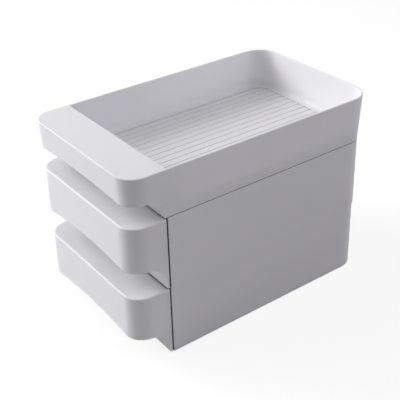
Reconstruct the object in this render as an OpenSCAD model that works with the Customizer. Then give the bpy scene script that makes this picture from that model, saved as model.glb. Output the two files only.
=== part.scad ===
// Stackable drawer box: two drawer casings, two lipped drawers and an open top tray.
// Millimetres, +Z up, the drawers open towards -Y.
// The origin lies on the floor, under the middle of the whole stack.

/* [Casings] */
// Outer width of each casing at its open front
casing_w = 190; // [160:1:220]
// Outer depth of each casing
casing_d = 286.2; // [258:0.1:330]
// Height of each casing
casing_h = 87.4; // [75:0.1:100]
// Radius of the upright back corners
back_r = 25.5; // [18:0.5:32]
// Outward lean of the casing walls from top to bottom
casing_draft = 1; // [0.2:0.1:1.2]
// Wall, floor and roof thickness of the casings
casing_wall = 2.4; // [2:0.1:3.2]
// Radius along the outer top and bottom edges of a casing
casing_edge_r = 0.3; // [0.2:0.1:1]
// Lead-in chamfer round the inside of a casing's mouth
mouth_lead = 1.8; // [1:0.1:1.9]
// Width of the flat rim on which a casing stands
base_rim_w = 8; // [6:0.5:14]
// Height of the hollow inside that rim
base_relief = 0.4; // [0.2:0.1:0.8]

/* [Runners and stops] */
// Height of the two runners that a drawer slides on
runner_h = 1.5; // [1:0.1:2.5]
// Width of a runner
runner_w = 4; // [3:0.5:8]
// Running gap between a drawer and its runners
slide_gap = 0.3; // [0.2:0.1:0.6]
// Distance between the two runners
runner_span = 120; // [80:1:150]
// Free height between the rim of a drawer and the roof of its casing
headroom = 4; // [3.5:0.1:8]
// Height of the stops on the drawer rim and under the casing roof
stop_h = 3; // [2.4:0.1:3.2]
// Length of a stop along the drawer
stop_l = 6; // [4:0.5:12]
// How far a drawer opens
drawer_travel = 200; // [120:1:230]

/* [Drawers] */
// Wall and floor thickness of the drawers
drawer_wall = 2.2; // [1.8:0.1:2.8]
// Gap between a drawer wall and the side of its casing
side_clear = 1.8; // [0.8:0.1:2.4]
// Gap between the drawer and the back of its casing
back_clear = 3; // [2:0.5:8]
// Inward lean of the drawer walls from rim to floor
bin_lean = 1; // [0.5:0.1:2]
// Radius of the front corners of a drawer's bin
bin_front_r = 12; // [11:0.5:16]
// Radius between the bin's walls and its floor
bin_cove_r = 5; // [3:0.5:5.5]
// Radius on the rims of the bins
rim_r = 0.8; // [0.5:0.1:0.9]

/* [Drawer fronts] */
// Overhang of a drawer's lip in front of its casing
lip_d = 46.8; // [38:0.1:55]
// Radius of the lip's front corners seen from above
lip_r = 22; // [18:0.5:26]
// Wall thickness of the lips
lip_wall = 2.4; // [2:0.1:3]
// Outward lean of the drawer front from its top to its bottom
front_draft = 0.5; // [0.1:0.1:1]
// Radius along the top edge of the lips
lip_edge_r = 2; // [1:0.1:2.3]
// Open gap between the drawer front and the casing
front_gap = 1.8; // [1:0.1:2.4]
// Gap above and below each drawer front
front_clear = 0.9; // [0.5:0.1:1.4]
// Height of the finger opening at the sides of a drawer front
pull_h = 32; // [28:1:40]
// Extra height of the finger opening in the middle
pull_arch = 6; // [2:0.5:8]
// Radius where the finger opening meets the upright front plate
pull_cove_r = 26; // [15:0.5:27]
// Depth of the stiffening webs under the ledges
web_h = 20; // [10:1:24]
// Thickness of the stiffening webs
web_t = 1.8; // [1.2:0.1:2.4]
// Distance between the two webs of a lip
web_span = 124; // [90:1:130]

/* [Top tray] */
// Height of the top tray
tray_h = 57; // [50:1:70]
// Outward flare of the tray walls from bottom to rim
tray_flare = 2.7; // [1:0.1:4]
// Wall and floor thickness of the tray
tray_wall = 2.4; // [2:0.1:3]
// Height of the tray's inner floor above its bottom edge
tray_floor_z = 8.5; // [7:0.1:12]
// Radius between the tray's walls and its floor
tray_cove_r = 7; // [4:0.5:9]
// Radius on both sides of the tray rim
tray_rim_r = 1; // [0.6:0.1:1]
// Chamfer along the bottom edge of the tray
tray_base_chamfer = 0.6; // [0.3:0.1:1]
// Open seam left between the tray and the casing under it
tray_gap = 0.4; // [0.2:0.1:0.5]
// Overhang of the tray's ledge in front of the casings, at the rim
tray_lip_d = 47.8; // [40:0.1:56]
// Radius of the tray's front corners at the rim
tray_lip_r = 22; // [18:0.5:26]
// Distance from the back of the tray's front wall to the plane of the casing fronts
ledge_front = 0.5; // [0.2:0.1:2]
// Height of the finger opening at the sides of the tray
tray_pull_h = 25; // [22:1:30]
// Extra height of the tray's finger opening in the middle
tray_pull_arch = 3.5; // [1:0.5:6]
// Radius where the tray's finger opening meets its front wall
tray_pull_cove_r = 22; // [12:0.5:23]

/* [Floor ribs] */
// Depth of the ribbed field below the rest of the tray floor
field_drop = 0.8; // [0.5:0.1:1.2]
// Distance from the plane of the casing fronts to the ribbed field of the tray
field_front = 5.5; // [2:0.5:20]
// Distance from one floor rib to the next
rib_pitch = 10.4; // [8:0.1:14]
// Width of a floor rib
rib_w = 5.2; // [3:0.1:7]
// Height of a floor rib
rib_h = 0.5; // [0.3:0.1:0.8]
// Bare margin between the ribs and the rounded foot of the walls
rib_margin = 0.5; // [0.3:0.1:3]

/* [Feet] */
// Diameter of a foot pad
foot_d = 16; // [12:0.5:20]
// Thickness of a foot pad
foot_h = 2.4; // [2:0.1:3]
// Depth to which a pad is set into the piece above it
foot_seat = 1; // [0.6:0.1:1.2]
// Gap around a pad in its seat
foot_fit = 0.2; // [0.1:0.05:0.4]
// Chamfer round the bottom of a foot pad
foot_chamfer = 0.6; // [0.3:0.1:1]
// Distance of the pad centres from the casing's sides, front and back
foot_inset = 27; // [24:1:40]

/* [Hidden] */
$fn = 96;
embed = 0.8;
// Step that keeps a hollow fillet from grazing the flat faces beside it
hair = 0.02;
far = 400;
plastic = "whitesmoke";
rubber = "gainsboro";
// Heights of the stack
foot_out = foot_h - foot_seat;
lower_z = foot_out;
upper_z = lower_z + casing_h;
tray_z = upper_z + casing_h + tray_gap;
// Middle of the whole stack, measured from the front plane of the casings
mid_y = (casing_d + tray_flare - tray_lip_d) / 2;
// Plan outlines as corner discs [x, y, radius], counter-clockwise from the front left
body_plan = plan(lip_d, 0, lip_r);
tray_plan = plan(tray_lip_d, tray_flare, tray_lip_r);
// How far the corner section of a casing reaches in along its floor
floor_reach = 2 * casing_wall;
// Drawer front
front_h = casing_h - 2 * front_clear;
plate_y = -front_gap - lip_wall;
// Drawer bin
bin_z = casing_wall + runner_h + slide_gap;
bin_h = casing_h - casing_wall - headroom - bin_z;
bin_x = casing_w / 2 - casing_wall - side_clear;
bin_back_r = back_r - casing_wall - side_clear;
bin_front_y = -front_gap - lip_wall / 2;
bin_back_y = casing_d - casing_wall - back_clear;
bin_plan = [[-bin_x + bin_front_r, bin_front_y + bin_front_r, bin_front_r],
            [bin_x - bin_front_r, bin_front_y + bin_front_r, bin_front_r],
            [bin_x - bin_back_r, bin_back_y - bin_back_r, bin_back_r],
            [-bin_x + bin_back_r, bin_back_y - bin_back_r, bin_back_r]];
// Stops: the ones under the roof sit just behind the casing front
roof_stop_y = 3;
rim_stop_y = roof_stop_y + stop_l + drawer_travel + slide_gap;
stop_w = 7;

// ---- Plan outlines ----

function plan(overhang, grow, front_r) =
    let (front_x = casing_w / 2 + grow - front_r,
         front_y = front_r - overhang,
         back_x = casing_w / 2 - back_r,
         back_y = casing_d - back_r)
    [[-front_x, front_y, front_r], [front_x, front_y, front_r],
     [back_x, back_y, back_r + grow], [-back_x, back_y, back_r + grow]];

function grown(discs, by) = [for (d = discs) [d[0], d[1], d[2] + by]];

// Direction in which the straight side after corner i faces
function facing(i) = 90 * (i - 1);

function on_disc(d, angle) = [d[0] + d[2] * cos(angle), d[1] + d[2] * sin(angle)];

module plan_area(discs) {
    polygon([for (i = [0 : 3])
        each [on_disc(discs[i], facing(i)), on_disc(discs[(i + 1) % 4], facing(i))]]);
    for (d = discs) {
        translate([d[0], d[1]]) circle(r = d[2]);
    }
}

// Carries a wall section round a plan outline. In the section, x = 0 lies on the outline
// and negative x is inside; y is the height.
module carried_round(discs) {
    for (i = [0 : 3]) {
        next = discs[(i + 1) % 4];
        start = on_disc(discs[i], facing(i));
        end = on_disc(next, facing(i));
        translate([end[0], end[1], 0]) rotate([90, 0, facing(i)])
            linear_extrude(norm(end - start)) children();
        translate([next[0], next[1], 0]) rotate([0, 0, facing(i)])
            rotate_extrude(angle = 90) translate([next[2], 0]) children();
    }
}

// ---- Sections ----

module sector(r, from, to) {
    reach = 2 * r;
    middle = (from + to) / 2;
    intersection() {
        circle(r = r);
        polygon([[0, 0], reach * [cos(from), sin(from)], reach * [cos(middle), sin(middle)],
                 reach * [cos(to), sin(to)]]);
    }
}

// A wall that leans in by lean at its bottom, with a rounded outer top edge
// and, where inner_r is above 0, a rounded inner one
module wall_section(h, lean, t, outer_r, inner_r, chamfer) {
    tilt = atan(lean / h);
    outer_x = -outer_r * (1 + sin(tilt)) / cos(tilt);
    inner_x = -t + inner_r * (1 - sin(tilt)) / cos(tilt);
    polygon([[-lean - chamfer, 0], [-lean * (1 - chamfer / h), chamfer],
             [outer_x + outer_r * cos(tilt), h - outer_r - outer_r * sin(tilt)], [outer_x, h],
             [inner_x, h], [inner_x - inner_r * cos(tilt), h - inner_r + inner_r * sin(tilt)],
             [-t - lean, 0]]);
    translate([outer_x, h - outer_r]) sector(outer_r, -tilt, 90);
    if (inner_r > 0) {
        translate([inner_x, h - inner_r]) sector(inner_r, 90, 180 - tilt);
    }
}

// The hollow fillet between such a wall and a floor at height floor_z
module cove_section(h, lean, t, floor_z, r) {
    tilt = atan(lean / h);
    centre_z = floor_z + r;
    centre = [-t - lean * (1 - centre_z / h) - r / cos(tilt), centre_z];
    wall_x = -t - lean * (1 - floor_z / h);
    difference() {
        polygon([centre, centre + (r + embed) * [cos(tilt), -sin(tilt)],
                 [wall_x + embed, floor_z - embed], [centre[0], floor_z - embed]]);
        translate(centre) circle(r = r - hair);
    }
}

module casing_section() {
    r = casing_edge_r;
    tilt = atan(casing_draft / casing_h);
    low_x = ((casing_h - r) * sin(tilt) - r) / cos(tilt);
    high_x = -r * (1 - sin(tilt)) / cos(tilt);
    polygon([[-floor_reach, 0], [low_x, 0], [low_x + r * cos(tilt), r + r * sin(tilt)],
             [high_x + r * cos(tilt), casing_h - r + r * sin(tilt)], [high_x, casing_h],
             [-casing_wall, casing_h], [-casing_wall, casing_wall],
             [-floor_reach, casing_wall]]);
    translate([low_x, r]) sector(r, -90, tilt);
    translate([high_x, casing_h - r]) sector(r, tilt, 90);
}

// ---- Shared features ----

module at_feet() {
    for (x = [-1, 1], y = [foot_inset, casing_d - foot_inset]) {
        translate([x * (casing_w / 2 - foot_inset), y, 0]) children();
    }
}

module foot_seats(out) {
    at_feet() translate([0, 0, -embed])
        cylinder(d = foot_d + 2 * foot_fit, h = foot_h - out + embed);
}

// Four pads that stand out below z = 0
module foot_pads(out) {
    at_feet() translate([0, 0, -out]) rotate_extrude()
        polygon([[0, 0], [foot_d / 2 - foot_chamfer, 0], [foot_d / 2, foot_chamfer],
                 [foot_d / 2, foot_h], [0, foot_h]]);
}

// Raised ribs that run from front to back, cut to the outline of the ribbed field
module floor_ribs(discs, front_y) {
    half = max([for (d = discs) d[0] + d[2]]);
    count = floor((2 * half - rib_w) / rib_pitch) + 1;
    intersection() {
        translate([0, 0, -embed]) linear_extrude(rib_h + embed) plan_area(discs);
        for (i = [0 : count - 1]) {
            translate([(i - (count - 1) / 2) * rib_pitch - rib_w / 2, front_y, -embed])
                cube([rib_w, far, rib_h + embed]);
        }
    }
}

// The finger opening under a lip: low at the sides, arched in the middle, with a
// hollow curve at the back where it meets the upright wall at y = back
module pull_opening(overhang, back, h, arch, cove_r) {
    half = casing_w / 2 - lip_r + lip_r / 3;
    arch_r = (half * half + arch * arch) / (2 * arch);
    front = -overhang - lip_wall;
    translate([-casing_w, 0, 0]) rotate([90, 0, 90]) linear_extrude(2 * casing_w) {
        translate([front, -far]) square([back - cove_r - front, far + h]);
        translate([front, -far]) square([back - front, far + h - cove_r]);
        translate([back - cove_r, h - cove_r]) sector(cove_r, 0, 90);
    }
    translate([0, front, h + arch - arch_r]) rotate([-90, 0, 0])
        cylinder(r = arch_r, h = lip_r / 2 + lip_wall, $fn = 360);
}

module ledge_webs(overhang, back, top) {
    for (x = [-1, 1]) {
        translate([x * web_span / 2 - web_t / 2, -overhang + lip_wall / 2, top - web_h])
            cube([web_t, overhang + back - lip_wall / 2, web_h]);
    }
}

// ---- Pieces, each with its bottom edge at z = 0 ----

module casing() {
    difference() {
        union() {
            intersection() {
                union() {
                    carried_round(body_plan) casing_section();
                    linear_extrude(casing_wall)
                        plan_area(grown(body_plan, embed - floor_reach));
                    translate([0, 0, casing_h - casing_wall]) linear_extrude(casing_wall)
                        plan_area(grown(body_plan, -casing_wall / 2));
                }
                translate([-far, 0, -far]) cube(2 * far);
            }
            casing_runners();
            roof_stops();
        }
        base_hollow();
        casing_mouth();
        foot_seats(foot_out);
        at_feet() translate([0, 0, casing_h - foot_out])
            cylinder(d = foot_d + 2 * foot_fit, h = far);
    }
}

module base_hollow() {
    intersection() {
        translate([0, 0, -embed]) linear_extrude(base_relief + embed)
            plan_area(grown(body_plan, -base_rim_w));
        translate([-far, base_rim_w, -far]) cube(2 * far);
    }
}

module casing_mouth() {
    side = casing_w / 2 - casing_wall;
    lead = [[-embed, -embed], [mouth_lead + embed, -embed], [-embed, mouth_lead + embed]];
    for (m = [0, 1]) {
        mirror([m, 0, 0]) translate([side, 0, casing_wall - mouth_lead])
            linear_extrude(casing_h - 2 * casing_wall + 2 * mouth_lead) polygon(lead);
    }
    for (m = [0, 1]) {
        translate([-side - mouth_lead, 0, casing_h / 2]) mirror([0, 0, m])
            translate([0, 0, casing_h / 2 - casing_wall]) rotate([90, 0, 90])
            linear_extrude(2 * side + 2 * mouth_lead) polygon([for (p = lead) [p[1], p[0]]]);
    }
}

module casing_runners() {
    for (x = [-1, 1]) {
        translate([x * runner_span / 2 - runner_w / 2, 0, casing_wall - embed])
            cube([runner_w, casing_d - back_r, runner_h + embed]);
    }
}

module roof_stops() {
    for (x = [-1, 1]) {
        translate([x * (casing_w / 2 - casing_wall / 2 - stop_w / 2) - stop_w / 2, roof_stop_y,
                   casing_h - casing_wall - stop_h])
            cube([stop_w, stop_l, stop_h + embed]);
    }
}

module drawer() {
    translate([0, 0, front_clear]) drawer_front();
    translate([0, 0, bin_z]) drawer_bin();
}

module drawer_front() {
    difference() {
        union() {
            intersection() {
                union() {
                    carried_round(body_plan)
                        wall_section(front_h, -front_draft, lip_wall, lip_edge_r, 0, 0);
                    translate([0, 0, front_h - lip_wall]) linear_extrude(lip_wall)
                        plan_area(grown(body_plan, -(lip_edge_r + lip_wall) / 2));
                }
                translate([-far, -2 * far - front_gap, -far]) cube(2 * far);
            }
            ledge_webs(lip_d, plate_y + embed, front_h - lip_wall / 2);
        }
        pull_opening(lip_d, plate_y, pull_h - front_clear, pull_arch, pull_cove_r);
    }
    front_plate();
}

module front_plate() {
    inset = lip_wall / 2;
    top_x = casing_w / 2 - inset;
    translate([0, -front_gap, 0]) rotate([90, 0, 0]) linear_extrude(lip_wall)
        polygon([[-top_x - front_draft, 0], [top_x + front_draft, 0],
                 [top_x, front_h - inset], [-top_x, front_h - inset]]);
}

module drawer_bin() {
    carried_round(bin_plan) {
        wall_section(bin_h, bin_lean, drawer_wall, rim_r, rim_r, 0);
        cove_section(bin_h, bin_lean, drawer_wall, drawer_wall, bin_cove_r);
    }
    linear_extrude(drawer_wall) plan_area(grown(bin_plan, -bin_lean - drawer_wall / 2));
    translate([0, 0, drawer_wall])
        floor_ribs(grown(bin_plan, -bin_lean - drawer_wall - bin_cove_r - rib_margin),
                   bin_front_y);
    rim_stops();
}

module rim_stops() {
    for (x = [-1, 1]) {
        translate([x * (bin_x - drawer_wall / 2) - drawer_wall / 2, rim_stop_y,
                   bin_h - rim_r - embed])
            cube([drawer_wall, stop_l, stop_h + rim_r + embed]);
    }
}

module tray() {
    wall_y = -ledge_front - tray_wall;
    difference() {
        union() {
            carried_round(tray_plan) {
                wall_section(tray_h, tray_flare, tray_wall, tray_rim_r, tray_rim_r,
                             tray_base_chamfer);
                cove_section(tray_h, tray_flare, tray_wall, tray_floor_z, tray_cove_r);
            }
            tray_ledge();
            ledge_webs(tray_lip_d, wall_y + embed, tray_h - tray_wall / 2);
        }
        pull_opening(tray_lip_d, wall_y, tray_pull_h, tray_pull_arch, tray_pull_cove_r);
    }
    tray_front_wall(wall_y);
    difference() {
        union() {
            tray_floor(wall_y);
            tray_bosses();
        }
        foot_seats(foot_out + tray_gap);
    }
}

module tray_ledge() {
    intersection() {
        translate([0, 0, tray_h - tray_wall]) linear_extrude(tray_wall)
            plan_area(grown(tray_plan, -tray_wall / 2 - tray_rim_r / 4));
        translate([-far, -ledge_front - 2 * far, -far]) cube(2 * far);
    }
}

module tray_front_wall(wall_y) {
    inset = tray_wall / 2;
    low_x = casing_w / 2 - inset;
    high_x = low_x + tray_flare;
    translate([0, wall_y + tray_wall, 0]) rotate([90, 0, 0]) linear_extrude(tray_wall)
        polygon([[-low_x, 0], [low_x, 0], [high_x, tray_h - inset], [-high_x, tray_h - inset]]);
}

module tray_floor(wall_y) {
    floor_lean = tray_flare * (1 - tray_floor_z / tray_h);
    field = grown(tray_plan, -floor_lean - tray_wall - tray_cove_r - rib_margin);
    difference() {
        intersection() {
            translate([0, 0, tray_floor_z - tray_wall]) linear_extrude(tray_wall)
                plan_area(grown(tray_plan, -floor_lean - tray_wall / 2));
            translate([-far, wall_y + embed, -far]) cube(2 * far);
        }
        intersection() {
            translate([0, 0, tray_floor_z - field_drop]) linear_extrude(far) plan_area(field);
            translate([-far, field_front, -far]) cube(2 * far);
        }
    }
    translate([0, 0, tray_floor_z - field_drop])
        floor_ribs(field, field_front - embed);
}

module tray_bosses() {
    at_feet() cylinder(d = foot_d + 2 * foot_fit + 2 * tray_wall,
                       h = tray_floor_z - tray_wall + embed);
}

// ---- Pieces in their places ----

module placed(z, tint) {
    color(tint) translate([0, -mid_y, z]) children();
}

module lower_casing() {
    placed(lower_z, plastic) casing();
}

module upper_casing() {
    placed(upper_z, plastic) casing();
}

module lower_drawer() {
    placed(lower_z, plastic) drawer();
}

module upper_drawer() {
    placed(upper_z, plastic) drawer();
}

module top_tray() {
    placed(tray_z, plastic) tray();
}

module lower_casing_feet() {
    placed(lower_z, rubber) foot_pads(foot_out);
}

module upper_casing_feet() {
    placed(upper_z, rubber) foot_pads(foot_out);
}

module tray_feet() {
    placed(tray_z, rubber) foot_pads(foot_out + tray_gap);
}

lower_casing();
upper_casing();
lower_drawer();
upper_drawer();
top_tray();
lower_casing_feet();
upper_casing_feet();
tray_feet();
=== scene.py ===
"""Finishes, studio and camera of the stackable drawer box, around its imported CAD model."""

import logging
import math
from dataclasses import dataclass, field
from enum import Enum

import bmesh
import bpy
from mathutils import Matrix, Vector

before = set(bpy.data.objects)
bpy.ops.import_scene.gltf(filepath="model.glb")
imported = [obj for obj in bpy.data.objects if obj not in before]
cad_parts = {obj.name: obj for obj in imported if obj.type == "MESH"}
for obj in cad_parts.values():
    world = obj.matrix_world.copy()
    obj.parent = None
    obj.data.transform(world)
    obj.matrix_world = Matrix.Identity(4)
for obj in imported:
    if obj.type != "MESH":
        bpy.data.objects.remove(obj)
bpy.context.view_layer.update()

LOG = logging.getLogger("drawer_box")
MM = 0.001
Colour = tuple[float, float, float]
Span = tuple[float, float]
UNIT: Span = (0.0, 1.0)
WHITE: Colour = (1.0, 1.0, 1.0)
COOL_WHITE: Colour = (1.0, 0.985, 1.04)


class Grip(Enum):
    """How a moulding is handled, which sets how far its edges are rubbed."""

    SLIDING = 1.0
    LIFTED = 0.7
    STANDING = 0.35


@dataclass(frozen=True)
class Mottle:
    """An uneven pattern of lumps that runs through a surface.

    Attributes:
        per_m: Number of lumps in a metre.
        layers: Number of finer layers.
        strength: Strength of the finer layers.
    """

    per_m: float
    layers: float
    strength: float


def direction(azimuth_deg: float, elevation_deg: float) -> Vector:
    """Finds the direction from the stack to something that stands round it.

    Args:
        azimuth_deg: Direction round the stack, from its front towards its right.
        elevation_deg: Height above the horizon.

    Returns:
        The direction, one metre long.
    """
    azimuth, elevation = math.radians(azimuth_deg), math.radians(elevation_deg)
    return Vector((math.sin(azimuth) * math.cos(elevation),
                   -math.cos(azimuth) * math.cos(elevation), math.sin(elevation)))


class Board:
    """A node tree that is filled node by node."""

    def __init__(self, owner: bpy.types.Material | bpy.types.World) -> None:
        """Empties the node tree of a material or a world.

        Args:
            owner: The material or the world.
        """
        owner.use_nodes = True
        self.tree = owner.node_tree
        self.tree.nodes.clear()

    def add(self, kind: str, **settings: object) -> bpy.types.Node:
        """Adds one node.

        Args:
            kind: Type name of the node without its "ShaderNode".
            settings: Values of the node's properties.

        Returns:
            The new node.
        """
        node = self.tree.nodes.new("ShaderNode" + kind)
        for name, value in settings.items():
            setattr(node, name, value)
        return node

    def feed(self, node: bpy.types.Node, **values: object) -> bpy.types.Node:
        """Sets or links the inputs of a node.

        Args:
            node: The node to feed.
            values: An output socket to link or a plain value, by the input's name in
                lower case with "_" for its spaces, or "in_0", "in_1" for a numbered input.

        Returns:
            The same node.
        """
        for name, value in values.items():
            socket = self.socket(node, name)
            if isinstance(value, bpy.types.NodeSocket):
                self.tree.links.new(value, socket)
            else:
                socket.default_value = value
        return node

    @staticmethod
    def socket(node: bpy.types.Node, name: str) -> bpy.types.NodeSocket:
        """Finds an input of a node.

        Args:
            node: The node.
            name: Name of the input, or "in_" and its number.

        Returns:
            The first enabled input of that name.
        """
        if name.startswith("in_"):
            return node.inputs[int(name[3:])]
        return next(socket for socket in node.inputs
                    if socket.name.lower().replace(" ", "_") == name and socket.enabled)

    def place(self) -> bpy.types.NodeSocket:
        """Returns the Object coordinates that every pattern reads."""
        return self.add("TexCoord").outputs["Object"]

    def maths(self, operation: str, *terms: object) -> bpy.types.NodeSocket:
        """Returns the result of a Math node on sockets or numbers."""
        node = self.add("Math", operation=operation)
        return self.feed(node, **{f"in_{i}": term for i, term in enumerate(terms)}).outputs[0]

    def noise(self, place: bpy.types.NodeSocket, mottle: Mottle) -> bpy.types.NodeSocket:
        """Returns a pattern's noise from 0 to 1 at the given coordinates."""
        node = self.feed(self.add("TexNoise"), vector=place, scale=mottle.per_m,
                         detail=mottle.layers, roughness=mottle.strength)
        return node.outputs[0]

    def spread(self, value: bpy.types.NodeSocket, across: Span,
               onto: Span) -> bpy.types.NodeSocket:
        """Returns a value mapped from one span onto another and held inside it."""
        node = self.feed(self.add("MapRange", clamp=True), value=value, from_min=across[0],
                         from_max=across[1], to_min=onto[0], to_max=onto[1])
        return node.outputs["Result"]

    def blend(self, share: object, first: object, second: object) -> bpy.types.NodeSocket:
        """Returns the first colour with a share of the second, each a colour or a socket."""
        ends = {name: value if isinstance(value, bpy.types.NodeSocket) else (*value, 1.0)
                for name, value in (("in_6", first), ("in_7", second))}
        return self.feed(self.add("Mix", data_type="RGBA"), in_0=share, **ends).outputs[2]

    def soften(self, radius_mm: float, samples: int) -> bpy.types.NodeSocket:
        """Returns the normal with its sharp edges rounded to a radius."""
        node = self.feed(self.add("Bevel", samples=samples), radius=radius_mm * MM)
        return node.outputs[0]

    def bump(self, height: bpy.types.NodeSocket, depth_mm: float,
             normal: bpy.types.NodeSocket) -> bpy.types.NodeSocket:
        """Returns a normal on which a pattern stands out by a depth."""
        node = self.feed(self.add("Bump"), height=height, distance=depth_mm * MM,
                         strength=1.0, normal=normal)
        return node.outputs[0]

    def show_apart(self, thrown: bpy.types.Node, seen: bpy.types.Node) -> bpy.types.Node:
        """Lets one shader light the scene and another be seen, also mirrored or through glass.

        Args:
            thrown: Shader that lights the scene.
            seen: Shader that is seen.

        Returns:
            The mix of the two.
        """
        path = self.add("LightPath")
        mirrored = self.maths("MAXIMUM", path.outputs["Is Camera Ray"],
                              path.outputs["Is Glossy Ray"])
        direct = self.maths("MAXIMUM", mirrored, path.outputs["Is Transmission Ray"])
        return self.feed(self.add("MixShader"), in_0=direct, in_1=thrown.outputs[0],
                         in_2=seen.outputs[0])

    def end(self, kind: str, shader: bpy.types.Node) -> None:
        """Ends the tree in an output node, of a material or of a world."""
        self.feed(self.add(kind), surface=shader.outputs[0])


@dataclass(frozen=True)
class ShellPlastic:
    """Satin off-white moulding plastic, slightly milky, with spark grain and rubbed edges.

    Attributes:
        colour: Colour of the flat walls.
        deep: Share of that colour that is left in the darkest clouds.
        clouds: Slow clouds in the colour.
        cloud_span: Part of the clouds that shows.
        clouding: Share by which the clouds darken the colour.
        grain: Spark grain that the tool leaves.
        grain_mm: Height of the grain.
        speck_span: Part of the grain that shows in the colour.
        speck: Share by which the grain darkens the colour.
        worn: Colour of the rubbed edges.
        worn_share: Share of that colour on a fully rubbed edge.
        wear_mm: Width of the rubbed band along an edge.
        wear_turn: Cosines of the edge's turn between which the wear sets in.
        patches: Patches that break up the wear.
        patch_span: Part of the patches that shows.
        patch_least: Wear that is left between the patches.
        painted_shade_colour: Dark colour of the shade painted into gaps and inner corners.
        shade_reach_mm: How far away a facing wall still gives painted shade.
        gap_shade_span: Open share of the surroundings between full painted shade and none.
        corner_shade: Share of painted shade at the feet of the walls and in inner corners.
        corner_shade_span: Open share of the surroundings between full corner shade and none.
        sheen_rough: Roughness of a clean wall.
        handling: Pattern of the handled patches.
        handled_span: Part of the handled patches that shows.
        handled_rough: How much rougher the handled patches are.
        polish: How much smoother a fully rubbed edge is.
        edge_mm: Radius to which sharp edges are softened.
        sink: Slow waves that cooling leaves in a thin wall.
        sink_mm: Height of these waves.
        refraction: Index of refraction.
        milkiness: Share of the light that sinks into the plastic before it comes back.
        milky_mm: How far that light spreads inside the wall.
        milky_share: Share of that distance for red, green and blue light.
    """

    colour: Colour = (0.872, 0.866, 0.888)
    deep: float = 0.55
    clouds: Mottle = Mottle(16.0, 3.0, 0.55)
    cloud_span: Span = (0.3, 0.7)
    clouding: float = 0.03
    grain: Mottle = Mottle(1500.0, 1.0, 0.6)
    grain_mm: float = 0.012
    speck_span: Span = (0.35, 0.75)
    speck: float = 0.02
    worn: Colour = (0.90, 0.898, 0.91)
    worn_share: float = 0.6
    wear_mm: float = 0.9
    wear_turn: Span = (0.995, 0.86)
    patches: Mottle = Mottle(90.0, 4.0, 0.65)
    patch_span: Span = (0.38, 0.62)
    patch_least: float = 0.25
    painted_shade_colour: Colour = (0.04, 0.04, 0.042)
    shade_reach_mm: float = 12.0
    gap_shade_span: Span = (0.28, 0.52)
    corner_shade: float = 0.09
    corner_shade_span: Span = (0.5, 0.95)
    sheen_rough: float = 0.50
    handling: Mottle = Mottle(38.0, 5.0, 0.6)
    handled_span: Span = (0.35, 0.7)
    handled_rough: float = 0.10
    polish: float = 0.06
    edge_mm: float = 0.35
    sink: Mottle = Mottle(22.0, 1.0, 0.4)
    sink_mm: float = 0.05
    refraction: float = 1.5
    milkiness: float = 1.0
    milky_mm: float = 1.5
    milky_share: Colour = (1.0, 1.0, 1.0)

    def mix(self, name: str, grip: Grip) -> bpy.types.Material:
        """Makes the plastic for one kind of moulding.

        Args:
            name: Name of the material.
            grip: How far its edges are rubbed.

        Returns:
            The material.
        """
        material = bpy.data.materials.new(name)
        board = Board(material)
        place = board.place()
        grain = board.noise(place, self.grain)
        wear = self.rubbed(board, place, grip)
        bsdf = board.add("BsdfPrincipled")
        # The base colour carries painted shade in the gaps and inner corners.
        board.feed(bsdf, base_color=self.paint_shade(board, self.tint(board, place, grain, wear)),
                   roughness=self.sheen(board, place, wear),
                   normal=self.relief(board, place, grain))
        bsdf.inputs["IOR"].default_value = self.refraction
        bsdf.inputs["Subsurface Weight"].default_value = self.milkiness
        bsdf.inputs["Subsurface Radius"].default_value = self.milky_share
        bsdf.inputs["Subsurface Scale"].default_value = self.milky_mm * MM
        board.end("OutputMaterial", bsdf)
        return material

    def rubbed(self, board: Board, place: bpy.types.NodeSocket,
               grip: Grip) -> bpy.types.NodeSocket:
        """Finds the rubbed edges, broken up as handling leaves them.

        Args:
            board: The material's board.
            place: Object coordinates.
            grip: How far the edges are rubbed.

        Returns:
            Wear from 0 to 1.
        """
        turn = board.feed(board.add("VectorMath", operation="DOT_PRODUCT"),
                          in_0=board.soften(self.wear_mm, samples=4),
                          in_1=board.add("NewGeometry").outputs["Normal"])
        edge = board.spread(turn.outputs["Value"], self.wear_turn, UNIT)
        patches = board.spread(board.noise(place, self.patches), self.patch_span,
                               (self.patch_least, 1.0))
        return board.maths("MULTIPLY", board.maths("MULTIPLY", edge, patches), grip.value)

    def tint(self, board: Board, place: bpy.types.NodeSocket, grain: bpy.types.NodeSocket,
             wear: bpy.types.NodeSocket) -> bpy.types.NodeSocket:
        """Colours the wall: slow clouds, fine specks and paler rubbed edges.

        Args:
            board: The material's board.
            place: Object coordinates.
            grain: The spark grain.
            wear: The rubbed edges.

        Returns:
            The colour.
        """
        clouds = board.spread(board.noise(place, self.clouds), self.cloud_span,
                              (0.0, self.clouding))
        specks = board.spread(grain, self.speck_span, (0.0, self.speck))
        deeper = tuple(part * self.deep for part in self.colour)
        wall = board.blend(board.maths("ADD", clouds, specks), self.colour, deeper)
        return board.blend(board.maths("MULTIPLY", wear, self.worn_share), wall, self.worn)

    def paint_shade(self, board: Board, wall: bpy.types.NodeSocket) -> bpy.types.NodeSocket:
        """Paints shade into the narrow gaps, and fainter shade at the feet of the walls and in
        inner corners.

        Args:
            board: The material's board.
            wall: The colour of the clean plastic.

        Returns:
            The colour.
        """
        # Painted shade: where ambient occlusion finds walls close by, the colour is darkened,
        # fully in narrow gaps and faintly at the feet of walls and in inner corners.
        occlusion = board.feed(board.add("AmbientOcclusion", samples=8),
                             distance=self.shade_reach_mm * MM)
        open_share = occlusion.outputs["AO"]
        corner_shaded = board.blend(board.spread(open_share, self.corner_shade_span, (self.corner_shade, 0.0)),
                           wall, self.painted_shade_colour)
        return board.blend(board.spread(open_share, self.gap_shade_span, (1.0, 0.0)),
                           corner_shaded, self.painted_shade_colour)

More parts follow.
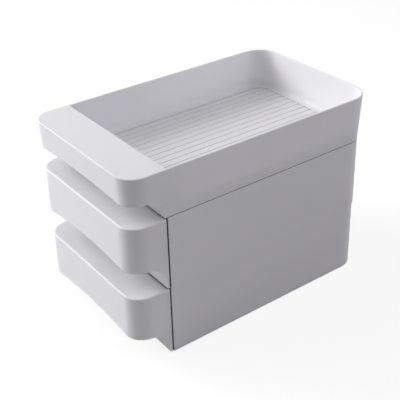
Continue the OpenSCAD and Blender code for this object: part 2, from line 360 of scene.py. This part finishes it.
    def sheen(self, board: Board, place: bpy.types.NodeSocket,
              wear: bpy.types.NodeSocket) -> bpy.types.NodeSocket:
        """Makes handled patches duller and rubbed edges glossier.

        Args:
            board: The material's board.
            place: Object coordinates.
            wear: The rubbed edges.

        Returns:
            The roughness.
        """
        handled = board.spread(board.noise(place, self.handling), self.handled_span,
                               (0.0, self.handled_rough))
        dull = board.maths("ADD", handled, self.sheen_rough)
        return board.maths("SUBTRACT", dull, board.maths("MULTIPLY", wear, self.polish))

    def relief(self, board: Board, place: bpy.types.NodeSocket,
               grain: bpy.types.NodeSocket) -> bpy.types.NodeSocket:
        """Softens the edges and adds the slow waves and the spark grain.

        Args:
            board: The material's board.
            place: Object coordinates.
            grain: The spark grain.

        Returns:
            The surface's normal.
        """
        soft = board.soften(self.edge_mm, samples=6)
        waves = board.bump(board.noise(place, self.sink), self.sink_mm, soft)
        return board.bump(grain, self.grain_mm, waves)


@dataclass(frozen=True)
class PadRubber:
    """Matt soft rubber of the foot pads, dusty and scuffed where it stands.

    Attributes:
        colour: Colour of the clean pad.
        dust: Colour of the dust on it.
        dust_share: Share of dust on the most scuffed spots.
        scuffs: Pattern of the scuffs.
        dust_span: Part of the scuffs that holds dust.
        rough_span: Part of the scuffs over which the rubber gets rougher.
        rough: Roughness of the smoothest and the most scuffed spots.
        pores: Pattern of the pores.
        pores_mm: Depth of the pores.
        edge_mm: Radius to which the sharp edges are softened.
    """

    colour: Colour = (0.78, 0.78, 0.78)
    dust: Colour = (0.66, 0.65, 0.64)
    dust_share: float = 0.7
    scuffs: Mottle = Mottle(260.0, 5.0, 0.7)
    dust_span: Span = (0.42, 0.68)
    rough_span: Span = (0.3, 0.7)
    rough: Span = (0.66, 0.84)
    pores: Mottle = Mottle(2600.0, 2.0, 0.6)
    pores_mm: float = 0.05
    edge_mm: float = 0.3

    def mix(self, name: str) -> bpy.types.Material:
        """Makes the rubber.

        Args:
            name: Name of the material.

        Returns:
            The material.
        """
        material = bpy.data.materials.new(name)
        board = Board(material)
        place = board.place()
        scuffs = board.noise(place, self.scuffs)
        dusty = board.spread(scuffs, self.dust_span, (0.0, self.dust_share))
        pitted = board.bump(board.noise(place, self.pores), self.pores_mm,
                            board.soften(self.edge_mm, samples=4))
        bsdf = board.feed(board.add("BsdfPrincipled"),
                          base_color=board.blend(dusty, self.colour, self.dust),
                          roughness=board.spread(scuffs, self.rough_span, self.rough),
                          normal=pitted)
        board.end("OutputMaterial", bsdf)
        return material


@dataclass
class Pieces:
    """CAD nodes that share one finish.

    Attributes:
        nodes: Names of the nodes.
    """

    nodes: tuple[str, ...]

    def material(self) -> bpy.types.Material:
        """Returns the finish of these nodes."""
        raise NotImplementedError

    def dress(self) -> None:
        """Puts the finish on every node."""
        material = self.material()
        for name in self.nodes:
            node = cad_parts[name]
            node.data.materials.clear()
            node.data.materials.append(material)
            LOG.info("%s wears %s", name, material.name)


@dataclass
class Mouldings(Pieces):
    """Shells from one tool.

    Attributes:
        grip: How they are handled.
        plastic: Their finish.
    """

    grip: Grip
    plastic: ShellPlastic = field(default_factory=ShellPlastic)

    def material(self) -> bpy.types.Material:
        """Returns the plastic, named after the first shell."""
        return self.plastic.mix(self.nodes[0] + "_plastic", self.grip)


@dataclass
class Casings(Mouldings):
    """The two open-fronted casings, which stay where they stand."""

    nodes: tuple[str, ...] = ("lower_casing", "upper_casing")
    grip: Grip = Grip.STANDING


@dataclass
class Drawers(Mouldings):
    """The two drawers, pulled by their lips and rubbed by the runners."""

    nodes: tuple[str, ...] = ("lower_drawer", "upper_drawer")
    grip: Grip = Grip.SLIDING


@dataclass
class Tray(Mouldings):
    """The open tray on top, which is lifted off by its rim and ledge."""

    nodes: tuple[str, ...] = ("top_tray",)
    grip: Grip = Grip.LIFTED


@dataclass
class FootPads(Pieces):
    """The soft pads under each casing and under the tray.

    Attributes:
        rubber: Their finish.
    """

    nodes: tuple[str, ...] = ("lower_casing_feet", "upper_casing_feet", "tray_feet")
    rubber: PadRubber = field(default_factory=PadRubber)

    def material(self) -> bpy.types.Material:
        """Returns the rubber of the pads."""
        return self.rubber.mix("foot_pad_rubber")


@dataclass(frozen=True)
class PhotoCamera:
    """The camera that looks at the stack from its front right.

    Attributes:
        azimuth_deg: Direction of the view round the stack.
        elevation_deg: Height of the view above the horizon.
        roll_deg: Turn of the picture about the view axis.
        distance_mm: Distance from the aim point.
        aim_mm: Point that the camera is measured from.
        slide_mm: Sideways and upward offset of the camera from the line to the aim point.
        focal_px: Focal length in pixels of the square picture.
        picture_px: Side of the square picture in pixels.
        sensor_mm: Sensor width.
        sight_m: Nearest and farthest distance that it sees.
    """

    azimuth_deg: float = 53.849
    elevation_deg: float = 30.929
    roll_deg: float = -1.358
    distance_mm: float = 1042.743
    aim_mm: tuple[float, float, float] = (0.0, 27.65, 90.0)
    slide_mm: tuple[float, float] = (-30.626, 7.091)
    focal_px: float = 847.674
    picture_px: float = 400.0
    sensor_mm: float = 36.0
    sight_m: Span = (0.05, 20.0)

    def axes(self) -> tuple[Vector, Vector, Vector]:
        """Finds how the camera is turned before its roll.

        Returns:
            Its right, up and backward directions.
        """
        azimuth = math.radians(self.azimuth_deg)
        back = direction(self.azimuth_deg, self.elevation_deg)
        right = Vector((math.cos(azimuth), math.sin(azimuth), 0.0))
        return right, back.cross(right), back

    def build(self) -> None:
        """Makes the camera and sets it as the scene's."""
        right, up, back = self.axes()
        place = (Vector(self.aim_mm) + back * self.distance_mm
                 + right * self.slide_mm[0] + up * self.slide_mm[1]) * MM
        roll = math.radians(self.roll_deg)
        rolled_right = right * math.cos(roll) + up * math.sin(roll)
        rolled_up = up * math.cos(roll) - right * math.sin(roll)
        data = bpy.data.cameras.new("photo_camera")
        data.sensor_width = self.sensor_mm
        data.lens = self.focal_px / self.picture_px * self.sensor_mm
        data.clip_start, data.clip_end = self.sight_m
        camera = bpy.data.objects.new("photo_camera", data)
        bpy.context.scene.collection.objects.link(camera)
        turn = Matrix((rolled_right, rolled_up, back)).transposed().to_4x4()
        camera.matrix_world = Matrix.Translation(place) @ turn
        bpy.context.scene.camera = camera
        LOG.info("photo_camera stands at %s", tuple(round(part, 4) for part in place))


@dataclass(frozen=True)
class SoftBox:
    """One large square lamp that faces the stack.

    Attributes:
        name: Name of the lamp.
        azimuth_deg: Its direction round the stack, from the front towards the right.
        elevation_deg: Its height above the horizon.
        side_m: Side of its cloth.
        level: Light that it throws on a wall facing it, where 1 shows a white wall as white.
        tint: Colour of its light.
        reach_m: Distance from the stack.
        aim_m: Height of the point it faces.
    """

    name: str
    azimuth_deg: float
    elevation_deg: float
    side_m: float
    level: float
    tint: Colour = WHITE
    reach_m: float = 2.5
    aim_m: float = 0.12

    def hang(self) -> None:
        """Makes the lamp and turns it to the stack."""
        way = direction(self.azimuth_deg, self.elevation_deg)
        data = bpy.data.lights.new(self.name, "AREA")
        data.shape = "SQUARE"
        data.size = self.side_m
        data.color = self.tint
        data.energy = self.level * (math.pi * self.reach_m) ** 2
        lamp = bpy.data.objects.new(self.name, data)
        bpy.context.scene.collection.objects.link(lamp)
        lamp.location = Vector((0.0, 0.0, self.aim_m)) + way * self.reach_m
        lamp.rotation_euler = (-way).to_track_quat("-Z", "Y").to_euler()
        LOG.info("%s hangs at level %s", self.name, self.level)


@dataclass
class Studio:
    """White sweep with soft windows at the front left and weak fills behind.

    Attributes:
        floor_m: Side of the square floor.
        fill: Strength of the even light from all round.
        fill_tint: Colour of that light.
        floor_bounce: Share of light that the floor throws back on the stack.
        floor_glow: Level at which the deepest shadow on the floor shows.
        floor_take: Share of the light on the floor that shows above that level.
        boxes: The lamps.
    """

    floor_m: float = 30.0
    fill: float = 0.16
    fill_tint: Colour = COOL_WHITE
    floor_bounce: float = 0.6
    floor_glow: float = 0.84
    floor_take: float = 0.22
    boxes: tuple[SoftBox, ...] = (
        SoftBox("window_left", -55.0, 30.0, 1.1, 0.574),
        SoftBox("curtain_left", -40.0, 45.0, 2.2, 0.278),
        SoftBox("window_low", -45.0, 10.0, 1.6, 0.22),
        SoftBox("fill_behind", 140.0, 50.0, 2.0, 0.224, COOL_WHITE),
        SoftBox("fill_low", 140.0, 20.0, 1.5, 0.10, COOL_WHITE),
    )

    def build(self) -> None:
        """Makes the world, the lamps and the floor, and sets plain view settings."""
        bpy.context.scene.view_settings.view_transform = "Standard"
        self.world()
        for box in self.boxes:
            box.hang()
        self.floor()

    def world(self) -> None:
        """Lights evenly, and shows white where it is seen."""
        world = bpy.data.worlds.new("white_sweep")
        bpy.context.scene.world = world
        board = Board(world)
        even = board.feed(board.add("Background"), color=(*self.fill_tint, 1.0),
                          strength=self.fill)
        white = board.feed(board.add("Background"), color=(*WHITE, 1.0), strength=1.0)
        board.end("OutputWorld", board.show_apart(even, white))

    def floor(self) -> None:
        """Makes the pale floor that keeps the stack's soft shadow."""
        shape = bmesh.new()
        bmesh.ops.create_grid(shape, x_segments=1, y_segments=1, size=self.floor_m / 2)
        mesh = bpy.data.meshes.new("white_floor")
        shape.to_mesh(mesh)
        shape.free()
        mesh.materials.append(self.floor_paper())
        floor = bpy.data.objects.new("white_floor", mesh)
        bpy.context.scene.collection.objects.link(floor)
        LOG.info("white_floor is laid")

    def floor_paper(self) -> bpy.types.Material:
        """Makes the floor's paper, which is seen paler than it lights the stack.

        Returns:
            The material.
        """
        material = bpy.data.materials.new("white_floor")
        board = Board(material)
        bounce = board.feed(board.add("BsdfDiffuse"), color=(*[self.floor_bounce] * 3, 1.0))
        shown = board.feed(board.add("BsdfDiffuse"), color=(*[self.floor_take] * 3, 1.0))
        glow = board.feed(board.add("Emission"), strength=self.floor_glow)
        lit = board.feed(board.add("AddShader"), in_0=shown.outputs[0], in_1=glow.outputs[0])
        board.end("OutputMaterial", board.show_apart(bounce, lit))
        return material


def main() -> None:
    """Builds the camera and the studio, and dresses every piece."""
    logging.basicConfig(level=logging.INFO, format="%(name)s: %(message)s")
    PhotoCamera().build()
    Studio().build()
    for pieces in (Casings(), Drawers(), Tray(), FootPads()):
        pieces.dress()


if __name__ == "__main__":
    main()
